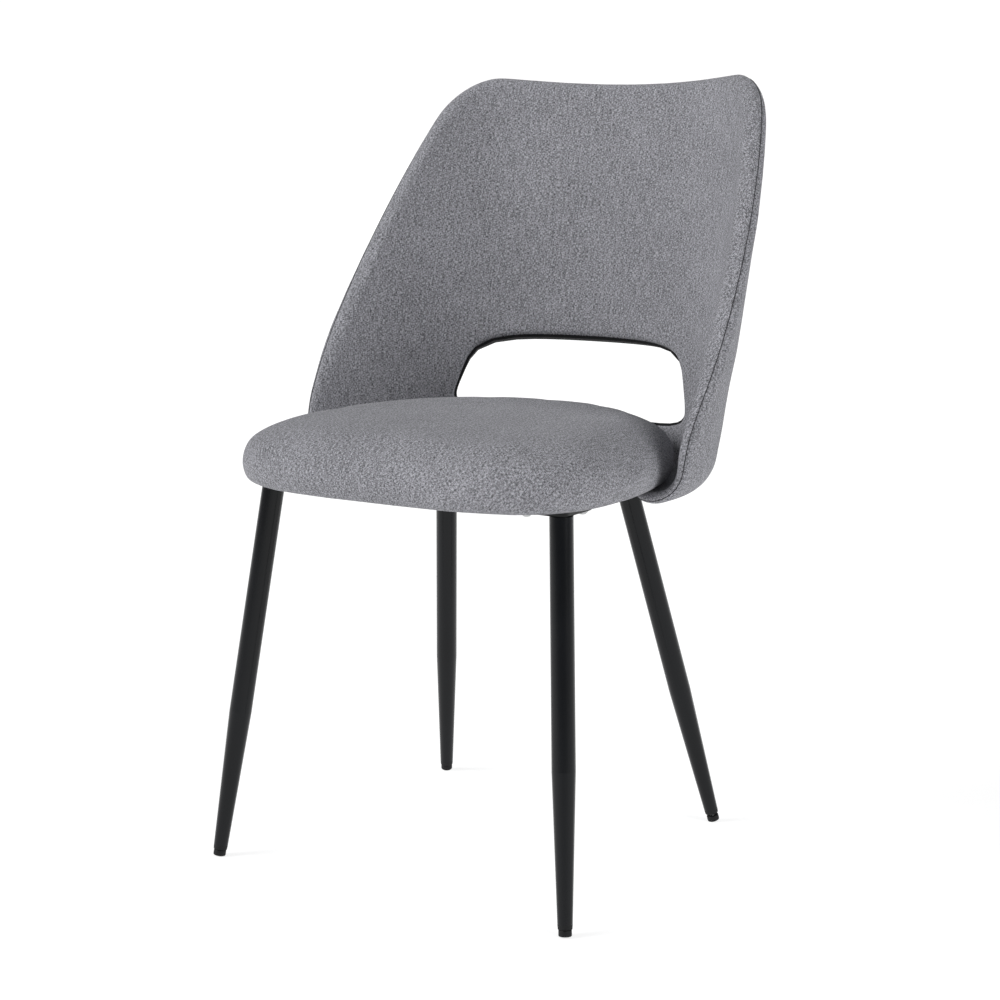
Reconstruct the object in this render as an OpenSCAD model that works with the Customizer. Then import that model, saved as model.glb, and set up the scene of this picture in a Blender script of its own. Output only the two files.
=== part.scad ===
// Dining chair with an upholstered shell back and four tapered steel legs.
// Millimetres, +Z up, the sitter faces -Y and their left hand is on +X.
// The origin is on the floor under the middle of the chair's outline.
// Chair coordinates used below put y = 0 midway between the front and rear feet;
// placed() carries everything from there to the origin above.

/* [Seat pad] */
// widest part of the pad
seat_w = 462; // [456:2:470]
// pad length in front of its widest line
seat_front_len = 174; // [160:2:190]
// pad length behind its widest line
seat_rear_len = 266; // [250:2:268]
// underside of the pad above the floor
seat_z = 430; // [420:2:440]
// pad height from underside to crown
seat_h = 75; // [64:1:80]
// thickness of the woven covers
cloth_t = 1.5; // [1:0.1:2]
// seat board thickness
board_t = 12; // [10:1:15]

/* [Back shell] */
// half width of the shell's middle surface
shell_a = 256; // [254:1:262]
// half length of the shell's plan ellipse
shell_b = 197; // [194:1:204]
// top of the back at its two peaks
back_z = 877; // [850:1:900]
// depth of the dip in the middle of the top edge
top_dip = 9; // [0:1:16]
// backward run of the back per millimetre of height
recline = 0.307; // [0.26:0.005:0.34]
// radius of the two top corners
corner_r = 50; // [40:1:60]
// plywood core thickness
core_t = 6; // [5:0.5:7]
// front padding over the core
pad_front = 12.5; // [10:0.5:14]
// rear padding over the core
pad_rear = 8.5; // [6:0.5:10]
// radius at which the shell turns in below the seat
tuck_r = 40; // [36:1:42]
// width of the flat flange under the seat
flange_w = 24; // [22:1:26]

/* [Back opening] */
// height of the opening
gap_h = 92; // [80:1:98]
// top of the opening above the floor
gap_top = 563; // [555:1:575]
// half width of the opening as a share of the half shell
gap_w = 0.43; // [0.36:0.005:0.44]

/* [Legs] */
// leg tube diameter
tube_d = 25; // [22:0.5:28]
// diameter at the foot end of the taper
tube_foot_d = 16; // [15:0.5:18]
// tube wall
tube_wall = 1.5; // [1:0.1:2]
// length of the tapered part
taper_len = 156; // [120:2:200]
// front feet half spacing
front_x = 228.6; // [215:0.2:235]
// rear feet half spacing
rear_x = 192.2; // [180:0.2:200]
// half distance from the front feet to the rear feet
feet_y = 205.4; // [195:0.2:215]
// front leg lean to the middle, per millimetre of height
front_in = 0.0993; // [0.08:0.001:0.12]
// front leg lean to the rear, per millimetre of height
front_back = 0.1393; // [0.12:0.001:0.16]
// rear leg lean to the middle, per millimetre of height
rear_in = 0.1662; // [0.15:0.001:0.18]
// rear leg lean to the front, per millimetre of height
rear_fwd = 0.2411; // [0.22:0.001:0.26]
// leg plate side
plate_w = 60; // [58:1:64]
// leg plate thickness
plate_t = 4; // [3:0.5:5]

/* [Feet] */
// glide diameter
glide_d = 14; // [12:0.5:15]
// glide height
glide_h = 7; // [6:0.5:9]
// how far the rear left glide is screwed out
rear_left_out = 3; // [0.4:0.2:6]
// gap under a glide that is screwed home
home_gap = 0.4; // [0.3:0.1:1]

/* [Hidden] */

$fn = 48;

// pad plan: a rounded trapezoid, fuller in front than behind
seat_y = -60;
front_n = 3.4;
rear_n = 2.6;
rear_taper = 0.0004;
pad_steps = 56;

// seat layers from below: cloth turned under, board, foam, cloth
board_z = seat_z + cloth_t;
board_inset = 22;
turn_under = 42;
felt_t = 0.8;
plate_z = seat_z - felt_t - plate_t;

// shell rows and columns
core_edge = 9;
flange_drop = 0.9;
flange_foam = 2;
flange_z = seat_z - flange_drop - cloth_t - flange_foam - core_t / 2;
shell_bottom_y = 33;
wing_foot_y = -4;

// middle of the outline, front to back
front_edge_y = seat_y - seat_front_len;
back_edge_y = shell_bottom_y + shell_b + 0.15 * (back_z - 480) + (recline - 0.15) * (back_z - 545) + 6;
depth_mid = (front_edge_y + back_edge_y) / 2;

// M6 hardware
m6_r = 3;
bolt_play = 0.03;
bolt_hole_r = 3.4;
head_r = 5.5;
head_h = 3.3;
washer_r = 7;
washer_t = 1.2;
tee_barrel_r = 4;
tee_barrel_h = 9;
tee_flange_r = 8.5;
tee_flange_t = 1.4;

// foot parts
plug_band = 5;
plug_depth = 22;
stud_in = 20;
stud_in_glide = 4;
stud_play = 0.05;
glide_edge = 1.2;
tube_spare = 400;

cloth_grey = [0.47, 0.48, 0.50];
felt_black = [0.06, 0.06, 0.06];
ply = [0.78, 0.65, 0.45];
foam_white = [0.93, 0.91, 0.84];
coat_black = [0.05, 0.05, 0.055];
steel = [0.72, 0.73, 0.75];
plastic_black = [0.08, 0.08, 0.08];

// ---- small helpers ----

// carries a node from chair coordinates to the origin
module placed() translate([0, -depth_mid, 0]) children();

function soft_ramp(x, w) = w * ln(1 + exp(min(60, x / w)));
function signed_pow(v, p) = sign(v) * pow(abs(v), p);
function unit(v) = v / norm(v);
function reversed(v) = [for (i = [len(v) - 1:-1:0]) v[i]];
function mix(a, b, t) = a + (b - a) * min(1, max(0, t));

// closes a stack of rings that all have the same number of points
module ring_stack(rings) {
    n = len(rings[0]);
    m = len(rings);
    points = [for (ring = rings) each ring];
    side = [for (j = [0:m - 2], i = [0:n - 1], half = [0, 1])
        half == 0
            ? [j * n + i, j * n + (i + 1) % n, (j + 1) * n + (i + 1) % n]
            : [j * n + i, (j + 1) * n + (i + 1) % n, (j + 1) * n + i]];
    first = [[for (i = [n - 1:-1:0]) i]];
    last = [[for (i = [0:n - 1]) (m - 1) * n + i]];
    polyhedron(points, concat(side, first, last), convexity = 6);
}

// ---- seat pad ----

function pad_point(a, inset) =
    let (
        front = sin(a) < 0,
        n = front ? front_n : rear_n,
        len_y = front ? seat_front_len : seat_rear_len,
        dy = len_y * signed_pow(sin(a), 2 / n),
        half = seat_w / 2 * (1 - rear_taper * max(0, dy)),
        x = half * signed_pow(cos(a), 2 / n),
        k = 1 - inset / (seat_w / 2)
    ) [x * k, seat_y + (dy - 45) * k + 45];

function pad_outline(inset) = [for (i = [0:pad_steps - 1]) pad_point(i * 360 / pad_steps, inset)];

// inset and height shares of the pad's rolled side, from the underside to the crown
pad_profile = [[18, 0], [10, 0.025], [4.5, 0.09], [1.2, 0.20], [0, 0.34], [0.7, 0.52], [4, 0.68],
    [11, 0.79], [25, 0.88], [50, 0.935], [95, 0.97], [150, 0.99]];

// skin = 0 is the outside of the cover, larger values lie inside it; rings run from the crown down
function pad_ring(inset, share, skin) =
    let (z = seat_z + skin + share * (seat_h - 2 * skin))
    [for (q = pad_outline(inset + skin)) [q[0], q[1], z]];
function pad_rings(skin) = concat([pad_ring(seat_w / 2 - 6, 1, skin)],
    [for (i = [len(pad_profile) - 1:-1:0]) pad_ring(pad_profile[i][0], pad_profile[i][1], skin)]);
function flat_ring(inset, z) = [for (q = pad_outline(inset)) [q[0], q[1], z]];

module pad_slab(inset, z, t) {
    translate([0, 0, z]) linear_extrude(t) polygon(pad_outline(inset));
}

module seat_board() {
    placed() color(ply) difference() {
        pad_slab(board_inset, board_z, board_t);
        for (p = concat(leg_bolt_places, back_bolt_places)) translate([p[0], p[1], 0]) {
            translate([0, 0, board_z - 1]) cylinder(h = board_t + 2, r = tee_barrel_r + 0.05);
            translate([0, 0, board_z + board_t - tee_flange_t]) cylinder(h = 5, r = tee_flange_r + 0.1);
        }
    }
}

module seat_foam() {
    placed() color(foam_white) ring_stack(concat(pad_rings(cloth_t),
        [flat_ring(board_inset, board_z), flat_ring(board_inset, board_z + board_t)]));
}

module seat_cover() {
    placed() color(cloth_grey) difference() {
        ring_stack(concat(pad_rings(0), [flat_ring(turn_under, seat_z), flat_ring(turn_under, board_z)],
            reversed(pad_rings(cloth_t))));
        bolt_holes(concat(leg_bolt_places, back_bolt_places), seat_z - 1, 4);
    }
}

module bolt_holes(places, z, h) {
    for (p = places) translate([p[0], p[1], z]) cylinder(h = h, r = bolt_hole_r);
}

module dust_cover() {
    placed() color(felt_black) difference() {
        pad_slab(turn_under - 14, seat_z - felt_t, felt_t);
        bolt_holes(concat(leg_bolt_places, back_bolt_places), seat_z - 2, 4);
    }
}

// ---- back shell ----
// The shell is a sheet bent round the sitter. A point of its middle surface is named by
// run, the distance from the rear middle along the bend (positive to the sitter's left),
// and climb, the distance up the sheet from where the tuck under the seat begins.
// Offsets are measured along the normal, positive outward.

tuck_z = flange_z + tuck_r;
tuck_len = tuck_r * PI / 2;
quarter_run = (shell_a + shell_b) / 2 * PI / 2;

function half_width(z) = shell_a - 0.085 * soft_ramp(560 - z, 20);
function centre_y(z) = shell_bottom_y + 0.15 * (z - 480) + (recline - 0.15) * soft_ramp(z - 545, 12);
function wing_y(z) = wing_foot_y + 0.684 * soft_ramp(z - 485.5, 15);

function sheet_z(climb) =
    climb >= 0 ? tuck_z + climb
    : climb > -tuck_len ? tuck_z + tuck_r * sin(climb / tuck_r * 180 / PI)
    : flange_z;
function sheet_inset(climb) =
    climb >= 0 ? 0
    : climb > -tuck_len ? tuck_r * (1 - cos(climb / tuck_r * 180 / PI))
    : tuck_r - climb - tuck_len;

// plan curve: half an ellipse whose ends run straight on to the front
function middle(run, climb) =
    let (
        z = sheet_z(climb),
        inset = sheet_inset(climb),
        zp = max(z, tuck_z),
        a = half_width(zp) - inset,
        b = shell_b - inset,
        far = abs(run) - quarter_run,
        phi = min(90, abs(run) / quarter_run * 90),
        side = run < 0 ? -1 : 1
    ) [side * a * sin(phi), centre_y(zp) + b * cos(phi) - max(0, far), z];

function normal(run, climb) =
    unit(cross(middle(run, climb + 1) - middle(run, climb - 1),
               middle(run + 1, climb) - middle(run - 1, climb)));

function sheet_point(run, climb, w) = middle(run, climb) + w * normal(run, climb);

// run at which the wing edge lies
function wing_run(climb) =
    let (
        z = max(sheet_z(climb), tuck_z),
        dy = wing_y(z) - centre_y(z)
    ) dy < 0 ? quarter_run - dy : quarter_run * (1 - asin(dy / shell_b) / 90);

// layers of the shell: how far each one lies inside the outline, and its two faces
CORE = 0;
FOAM = 1;
CLOTH = 2;
function layer_inset(layer) = [core_edge, cloth_t, 0][layer];
function pad_share(climb) = min(1, max(0, (climb + 20) / 130));
function face(layer, climb, pad) =
    core_t / 2 + (layer == CORE ? 0 : mix(flange_foam, pad, pad_share(climb)))
    + (layer == CLOTH ? cloth_t : 0);
function half_thick(layer, climb) = (face(layer, climb, pad_rear) + face(layer, climb, pad_front)) / 2;
function mid_thick(layer, climb) = (face(layer, climb, pad_rear) - face(layer, climb, pad_front)) / 2;

top_climb = back_z - tuck_z;
low_climb = -tuck_len - flange_w;

function corner_cut(d, r) = d >= r ? 0 : r - sqrt(r * r - pow(r - d, 2));
function dip(run, climb) =
    top_dip * pow(max(0, 1 - pow(run / 165, 2)), 1.4) * max(0, 1 - (top_climb - climb) / 160);

// outline of a layer from the bottom middle up the left side to the top middle, as [run, climb]
bottom_steps = 9;
top_steps = 5;
foot_r = 30;
wing_climbs = concat([-tuck_len / 2, -tuck_len / 4, 0],
    [for (k = [0.06, 0.14, 0.23, 0.33, 0.44, 0.56, 0.68, 0.79]) top_climb * k]);
function half_outline(e) =
    let (
        low = low_climb + e,
        top = top_climb - e,
        r = corner_r - e,
        f = foot_r - e / 2,
        low_run = wing_run(low) - e - f,
        top_run = wing_run(top) - e - r
    ) concat(
        [for (k = [0:bottom_steps - 1]) [low_run * k / bottom_steps, low]],
        [for (a = [0:30:90]) [low_run + f * sin(a), low + f * (1 - cos(a))]],
        [for (c = wing_climbs) [wing_run(c) - e, c]],
        [for (a = [0:30:90])
            let (d = r * (1 - sin(a))) [wing_run(top - d) - e - corner_cut(d, r), top - d]],
        [for (k = [top_steps - 1:-1:0]) [top_run * k / top_steps, top]]);
function full_loop(half) = concat(half, [for (i = [len(half) - 2:-1:1]) [-half[i][0], half[i][1]]]);

// outline of the opening of a layer, one point for each point of the outer outline
gap_mid = gap_top - tuck_z - gap_h / 2;
gap_power = 4.6;
gap_flare = 0.11;
function gap_point(dir, e) =
    let (
        a = atan2((dir[1] - gap_mid) / 210, dir[0] / quarter_run),
        r = pow(pow(abs(cos(a)), gap_power) + pow(abs(sin(a)), gap_power), -1 / gap_power),
        u = r * cos(a),
        v = r * sin(a)
    ) [u * (gap_w * quarter_run + e) * (1 - gap_flare * v), gap_mid + v * (gap_h / 2 + e)];

outer_dirs = full_loop(half_outline(0));
outer_gaps = [for (p = outer_dirs) gap_point(p, 0)];
loop_count = len(outer_dirs);
half_count = loop_count / 2;

// stations across the sheet from the opening to the outline: distance from the nearer edge,
// with a negative sign when it is counted from the outline
gap_round = 7;
wing_round = 14;
gap_rows = [0, 2, gap_round];
wing_rows = [wing_round, 5, 1.2, 0];
middle_rows = 4;
row_count = len(gap_rows) + middle_rows + len(wing_rows);

function edge_share(d, r) = sqrt(1 - pow(1 - min(1, (d + 0.12) / r), 2));

// [run, climb, thickness share] of station j on line i; the middle rows are the same in all layers
function station(layer, i, j, gaps, rims) =
    let (
        first = len(gap_rows),
        last = first + middle_rows,
        shared = j >= first && j < last,
        g = shared ? outer_gaps[i] : gaps[i],
        o = shared ? outer_dirs[i] : rims[i],
        span = norm(o - g),
        d = j < first ? gap_rows[j]
            : j < last ? gap_round + (span - gap_round - wing_round) * (j - first + 1) / (middle_rows + 1)
            : span - wing_rows[j - last],
        share = layer == CORE ? 1
            : j < first ? edge_share(d, gap_round)
            : j < last ? 1 : edge_share(span - d, wing_round),
        p = g + (o - g) * d / span
    ) [p[0], p[1] - dip(p[0], p[1]), share];

// both faces of a layer: stations 0 to row_count - 1 in front, then back along the rear
function layer_lines(layer) =
    let (
        e = layer_inset(layer),
        rims = full_loop(half_outline(e)),
        gaps = [for (p = outer_dirs) gap_point(p, e)]
    ) [for (i = [0:loop_count - 1]) [for (k = [0:2 * row_count - 1])
        let (
            front = k < row_count,
            s = station(layer, i, front ? k : 2 * row_count - 1 - k, gaps, rims),
            h = half_thick(layer, s[1]) * s[2],
            w = mid_thick(layer, s[1]) + (front ? -h : h)
        ) sheet_point(s[0], s[1], w)]];

// stations of the front strip, which runs past the wing's edge to the seam, and of the rear strip
seam = row_count + 1;
front_strip = concat([2 * row_count - 1], [for (k = [0:seam]) k]);
rear_strip = [for (k = [seam:2 * row_count - 1]) k];
core_front = concat([2 * row_count - 1], [for (k = [0:row_count]) k]);
core_rear = [for (k = [row_count:2 * row_count - 1]) k];

function pick(line, stations) = [for (k = stations) line[k]];

// a band of closed sections: the last section meets the first, or both ends are flat.
// From point `turn` of a section on, the faces are split the other way, so that they
// match those of the layer inside; the right half mirrors the left.
module band(sections, turn, closed = true) {
    m = len(sections);
    n = len(sections[0]);
    points = [for (section = sections) each section];
    sides = [for (j = [0:closed ? m - 1 : m - 2], i = [0:n - 1], k = [0, 1])
        let (
            a = j * n + i,
            b = j * n + (i + 1) % n,
            c = ((j + 1) % m) * n + (i + 1) % n,
            d = ((j + 1) % m) * n + i
        ) (i >= turn && i < n - 1) != (j >= half_count)
            ? (k == 0 ? [a, d, b] : [d, c, b])
            : (k == 0 ? [a, c, b] : [a, d, c])];
    ends = closed ? []
        : [[for (i = [0:n - 1]) i], [for (i = [n - 1:-1:0]) (m - 1) * n + i]];
    polyhedron(points, concat(sides, ends), convexity = 10);
}

module flange_bolt_holes() bolt_holes(back_bolt_places, flange_z - 12, 24);

core_lines = layer_lines(CORE);
foam_lines = layer_lines(FOAM);
cloth_lines = layer_lines(CLOTH);

// the lines all round the opening, or only those on the sitter's left
all_round = [for (i = [0:loop_count - 1]) i];
left_half = [for (i = [0:half_count]) i];

// solid between the same strip of two layers
module between(lines, strip, inner_lines, inner_strip, side = all_round) {
    difference() {
        band([for (i = side)
            concat(pick(lines[i], strip), reversed(pick(inner_lines[i], inner_strip)))],
            len(strip) - 1, len(side) == loop_count);
        flange_bolt_holes();
    }
}

module back_core() {
    placed() color(ply) difference() {
        band(core_lines, 2 * row_count);
        flange_bolt_holes();
    }
}

module back_foam_front_left() {
    placed() color(foam_white)
        between(foam_lines, front_strip, core_lines, core_front, left_half);
}

module back_foam_front_right() {
    mirror([1, 0, 0]) back_foam_front_left();
}

module back_foam_rear() {
    placed() color(foam_white) between(foam_lines, rear_strip, core_lines, core_rear);
}

module back_cover_front() {
    placed() color(cloth_grey) between(cloth_lines, front_strip, foam_lines, front_strip);
}

module back_cover_rear() {
    placed() color(cloth_grey) between(cloth_lines, rear_strip, foam_lines, rear_strip);
}

// black edging that hides the seam inside the opening
trim_t = 1.2;
module opening_trim() {
    seat_at = [1, 0, 2 * row_count - 1, 2 * row_count - 2];
    sections = [for (i = [0:loop_count - 1])
        let (
            foot = pick(cloth_lines[i], seat_at),
            p = gap_point(outer_dirs[i], -trim_t),
            h = half_thick(CLOTH, p[1]) * 0.55,
            c = mid_thick(CLOTH, p[1])
        ) concat([sheet_point(p[0], p[1], c + h), sheet_point(p[0], p[1], c - h)], foot)];
    placed() color(felt_black) band(sections, 1);
}

// ---- fastener places ----

front_top = [front_x - front_in * plate_z, front_back * plate_z - feet_y];
rear_top = [rear_x - rear_in * plate_z, feet_y - rear_fwd * plate_z];
front_plate = front_top + [-20, 20];
rear_plate = rear_top + [-20, -20];
bolt_pitch = plate_w / 2 - 9;

function plate_bolts(c, sx, sy) = [for (d = [[-1, -1], [-1, 1], [1, 1]])
    [sx * (c[0] + d[0] * bolt_pitch), c[1] + sy * d[1] * bolt_pitch]];
leg_bolt_places = concat(plate_bolts(front_plate, 1, 1), plate_bolts(front_plate, -1, 1),
    plate_bolts(rear_plate, 1, -1), plate_bolts(rear_plate, -1, -1));

back_bolt_climb = -tuck_len - 14;
back_bolt_places = [for (run = [-135, -81, -27, 27, 81, 135])
    let (p = middle(run, back_bolt_climb)) [p[0], p[1]]];

// ---- legs ----

module left_or_right(left) {
    if (left) {
        children();
    } else {
        mirror([1, 0, 0]) children();
    }
}

// leg axis as the Z axis, with its own origin where the axis meets the floor
function lean(front) = front ? [-front_in, front_back] : [-rear_in, -rear_fwd];
function tilt_y(front) = atan(lean(front)[0]);
function tilt_x(front) = -atan(lean(front)[1] * cos(tilt_y(front)));
function leg_tilt(front) = acos(cos(tilt_x(front)) * cos(tilt_y(front)));

module on_leg(front, left) {
    left_or_right(left) translate([front ? front_x : rear_x, front ? -feet_y : feet_y, 0])
        rotate([tilt_x(front), tilt_y(front), 0]) children();
}

// distance along the axis at which the glide's face starts, so that its edge is on the floor
function glide_z(front) =
    (glide_edge + (glide_d / 2 - glide_edge) * sin(leg_tilt(front))) / cos(leg_tilt(front)) - glide_edge;
function plug_z(front, out) = glide_z(front) + glide_h + out;
function tube_z(front, out) = plug_z(front, out) + plug_band;

// tapered tube from z up along the axis, longer than the leg needs
module tube(z) {
    foot = tube_foot_d / 2;
    full = tube_d / 2;
    top = z + taper_len + tube_spare;
    rotate_extrude() polygon([[foot - tube_wall, z], [foot, z], [full, z + taper_len], [full, top],
        [full - tube_wall, top], [full - tube_wall, z + taper_len]]);
}

module leg(front, left, out) {
    placed() color(coat_black) difference() {
        on_leg(front, left) tube(tube_z(front, out));
        translate([-400, -400, plate_z]) cube(800);
    }
}

module plate(front, left) {
    c = front ? front_plate : rear_plate;
    w = plate_w / 2;
    r = 8;
    placed() color(coat_black) left_or_right(left) difference() {
        translate([c[0], c[1], plate_z]) {
            translate([-w + r, -w, 0]) cube([plate_w - 2 * r, plate_w, plate_t]);
            translate([-w, -w + r, 0]) cube([plate_w, plate_w - 2 * r, plate_t]);
            for (x = [-1, 1], y = [-1, 1])
                translate([x * (w - r), y * (w - r), 0]) cylinder(h = plate_t, r = r);
        }
        bolt_holes(plate_bolts(c, 1, front ? 1 : -1), plate_z - 1, plate_t + 2);
    }
}

module plug(front, left, out) {
    z = plug_z(front, out);
    bore = m6_r + stud_play;
    placed() color(plastic_black) on_leg(front, left) translate([0, 0, z]) difference() {
        union() {
            cylinder(h = plug_band, r1 = tube_foot_d / 2 - 0.4, r2 = tube_foot_d / 2);
            cylinder(h = plug_band + plug_depth, r = tube_foot_d / 2 - tube_wall);
        }
        translate([0, 0, -1]) cylinder(h = plug_band + plug_depth + 2, r = bore);
    }
}

module stud(front, left, out) {
    placed() color(steel) on_leg(front, left)
        translate([0, 0, glide_z(front) + glide_h - stud_in_glide])
            cylinder(h = stud_in_glide + out + stud_in, r = m6_r);
}

module glide(front, left) {
    r = glide_d / 2;
    e = glide_edge;
    placed() color(plastic_black) on_leg(front, left) translate([0, 0, glide_z(front)]) difference() {
        rotate_extrude() union() {
            square([r - e, glide_h]);
            translate([0, e]) square([r, glide_h - 2 * e]);
            translate([r - e, e]) circle(e);
            translate([r - e, glide_h - e]) circle(e);
        }
        translate([0, 0, glide_h - stud_in_glide]) cylinder(h = glide_h, r = m6_r + bolt_play);
    }
}

module front_left_leg() leg(true, true, home_gap);
module front_right_leg() leg(true, false, home_gap);
module rear_left_leg() leg(false, true, rear_left_out);
module rear_right_leg() leg(false, false, home_gap);

module front_left_plate() plate(true, true);
module front_right_plate() plate(true, false);
module rear_left_plate() plate(false, true);
module rear_right_plate() plate(false, false);

module front_left_plug() plug(true, true, home_gap);
module front_right_plug() plug(true, false, home_gap);
module rear_left_plug() plug(false, true, rear_left_out);
module rear_right_plug() plug(false, false, home_gap);

module front_left_stud() stud(true, true, home_gap);
module front_right_stud() stud(true, false, home_gap);
module rear_left_stud() stud(false, true, rear_left_out);
module rear_right_stud() stud(false, false, home_gap);

module front_left_glide() glide(true, true);
module front_right_glide() glide(true, false);
module rear_left_glide() glide(false, true);
module rear_right_glide() glide(false, false);

// ---- fasteners ----

// button head bolt with a hex socket, its head's upper face at z = 0, pointing up
module bolt(length) {
    difference() {
        union() {
            cylinder(h = length, r = m6_r);
            translate([0, 0, -1.2]) cylinder(h = 1.2, r = head_r);
            translate([0, 0, -head_h]) cylinder(h = head_h - 1.2, r1 = head_r - 2, r2 = head_r);
        }
        translate([0, 0, -head_h - 1]) cylinder(h = 3, r = 2.3, $fn = 6);
    }
}

module washer() {
    difference() {
        cylinder(h = washer_t, r = washer_r);
        translate([0, 0, -1]) cylinder(h = washer_t + 2, r = bolt_hole_r);
    }
}

// barrel up through the board, flange let in flush with its top
module tee_nut() {
    difference() {
        union() {
            translate([0, 0, -tee_barrel_h]) cylinder(h = tee_barrel_h, r = tee_barrel_r);
            translate([0, 0, -tee_flange_t]) cylinder(h = tee_flange_t, r = tee_flange_r);
        }
        translate([0, 0, -tee_barrel_h - 1]) cylinder(h = tee_barrel_h + 2, r = m6_r + bolt_play);
    }
}

bolt_end = board_z + board_t - tee_flange_t;
leg_head_z = plate_z - washer_t;
back_head_z = flange_z - core_t / 2 - flange_foam - cloth_t - washer_t;

module leg_bolts() {
    placed() color(steel) for (p = leg_bolt_places)
        translate([p[0], p[1], leg_head_z]) bolt(bolt_end - leg_head_z);
}

module leg_washers() {
    placed() color(steel) for (p = leg_bolt_places)
        translate([p[0], p[1], leg_head_z]) washer();
}

module leg_tee_nuts() {
    placed() color(steel) for (p = leg_bolt_places)
        translate([p[0], p[1], board_z + board_t]) tee_nut();
}

module back_bolts() {
    placed() color(steel) for (p = back_bolt_places)
        translate([p[0], p[1], back_head_z]) bolt(bolt_end - back_head_z);
}

module back_washers() {
    placed() color(steel) for (p = back_bolt_places)
        translate([p[0], p[1], back_head_z]) washer();
}

module back_tee_nuts() {
    placed() color(steel) for (p = back_bolt_places)
        translate([p[0], p[1], board_z + board_t]) tee_nut();
}

// crowns of the wire staples that hold the turned-under cloth and the dust cover to the board
staple_count = 24;
staple_l = 10;
staple_d = 0.6;
module staples() {
    placed() color(steel) for (i = [0:staple_count - 1]) {
        a = 180 + (i + 0.5) * 180 / staple_count;
        p = pad_point(a, 34);
        q = pad_point(a + 1, 34);
        clear = norm([abs(p[0]), p[1]] - front_plate) > plate_w * 0.8;
        turn = atan2(q[1] - p[1], q[0] - p[0]);
        if (clear) {
            translate([p[0], p[1], seat_z - felt_t - staple_d]) rotate([0, 0, turn])
                translate([-staple_l / 2, -staple_d / 2, 0]) cube([staple_l, staple_d, staple_d]);
        }
    }
}

seat_board();
seat_foam();
seat_cover();
dust_cover();
back_core();
back_foam_front_left();
back_foam_front_right();
back_foam_rear();
back_cover_front();
back_cover_rear();
opening_trim();
front_left_leg();
front_right_leg();
rear_left_leg();
rear_right_leg();
front_left_plate();
front_right_plate();
rear_left_plate();
rear_right_plate();
front_left_plug();
front_right_plug();
rear_left_plug();
rear_right_plug();
front_left_stud();
front_right_stud();
rear_left_stud();
rear_right_stud();
front_left_glide();
front_right_glide();
rear_left_glide();
rear_right_glide();
leg_bolts();
leg_washers();
leg_tee_nuts();
back_bolts();
back_washers();
back_tee_nuts();
staples();
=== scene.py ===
"""Dining chair: fabric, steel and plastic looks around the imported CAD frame.

The part's own frame throughout: +Z up, the sitter faces -Y, origin on the floor. Blender's
lengths are metres. Shapes are worked out in millimetres and scaled by MM on their way in.
"""

import math

import bmesh
import bpy
import numpy as np
from mathutils import Matrix, Vector


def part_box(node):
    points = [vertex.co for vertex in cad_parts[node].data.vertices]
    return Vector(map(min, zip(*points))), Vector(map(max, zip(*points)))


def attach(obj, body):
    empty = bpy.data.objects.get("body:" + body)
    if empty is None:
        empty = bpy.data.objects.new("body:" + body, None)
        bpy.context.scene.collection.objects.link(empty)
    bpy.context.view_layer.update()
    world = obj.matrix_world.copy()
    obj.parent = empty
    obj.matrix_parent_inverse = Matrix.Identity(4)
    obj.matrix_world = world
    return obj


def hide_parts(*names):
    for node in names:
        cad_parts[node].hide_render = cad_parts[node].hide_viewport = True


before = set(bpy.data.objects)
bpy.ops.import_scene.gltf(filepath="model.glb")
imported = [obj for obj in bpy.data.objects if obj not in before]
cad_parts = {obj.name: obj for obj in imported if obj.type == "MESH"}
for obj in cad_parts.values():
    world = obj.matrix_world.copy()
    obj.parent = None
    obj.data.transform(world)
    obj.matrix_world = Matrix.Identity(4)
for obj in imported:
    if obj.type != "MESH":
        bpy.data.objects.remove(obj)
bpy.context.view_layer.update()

MM = 0.001

# ---------------------------------------------------------------- camera and stage

EYE = Vector((1.2556, -2.0072, 0.8116))
# Degrees to the left of +Y and below the horizon, then millimetres.
YAW, PITCH, LENS, SENSOR = 32.3655, 10.016, 75.11, 36.0

FLOOR_HALF, FLOOR_TONE, FLOOR_GLOW = 60.0, 0.42, 0.75
# The world is pure white to the camera and a dim, slightly blue fill to everything else.
SKY_TINT, SKY_FILL, SKY_SEEN = (0.97, 0.985, 1, 1), 0.24, 1.05
# Name, direction of travel, strength, and apparent width in degrees.
SUNS = (("left", (0.62, 0.6, -0.5), 2.4, 30), ("right", (-0.85, 0.1, -0.5), 1.5, 35))
WHITE = (1, 1, 1, 1)


def make_camera():
    """Camera at the photograph's place, level across."""
    data = bpy.data.cameras.new("camera")
    data.lens, data.sensor_width = LENS, SENSOR
    cam = bpy.data.objects.new("camera", data)
    bpy.context.scene.collection.objects.link(cam)
    yaw, pitch = math.radians(YAW), math.radians(PITCH)
    level = math.cos(pitch)
    look = Vector((-math.sin(yaw) * level, math.cos(yaw) * level, -math.sin(pitch)))
    right = Vector((math.cos(yaw), math.sin(yaw), 0))
    cam.matrix_world = Matrix((right, right.cross(look), -look)).transposed().to_4x4()
    cam.location = EYE
    bpy.context.scene.camera = cam


def add_sun(name, towards, strength, width):
    data = bpy.data.lights.new(name, "SUN")
    data.energy, data.angle = strength, math.radians(width)
    lamp = bpy.data.objects.new(name, data)
    lamp.rotation_euler = Vector(towards).to_track_quat("-Z", "Y").to_euler()
    bpy.context.scene.collection.objects.link(lamp)


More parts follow.
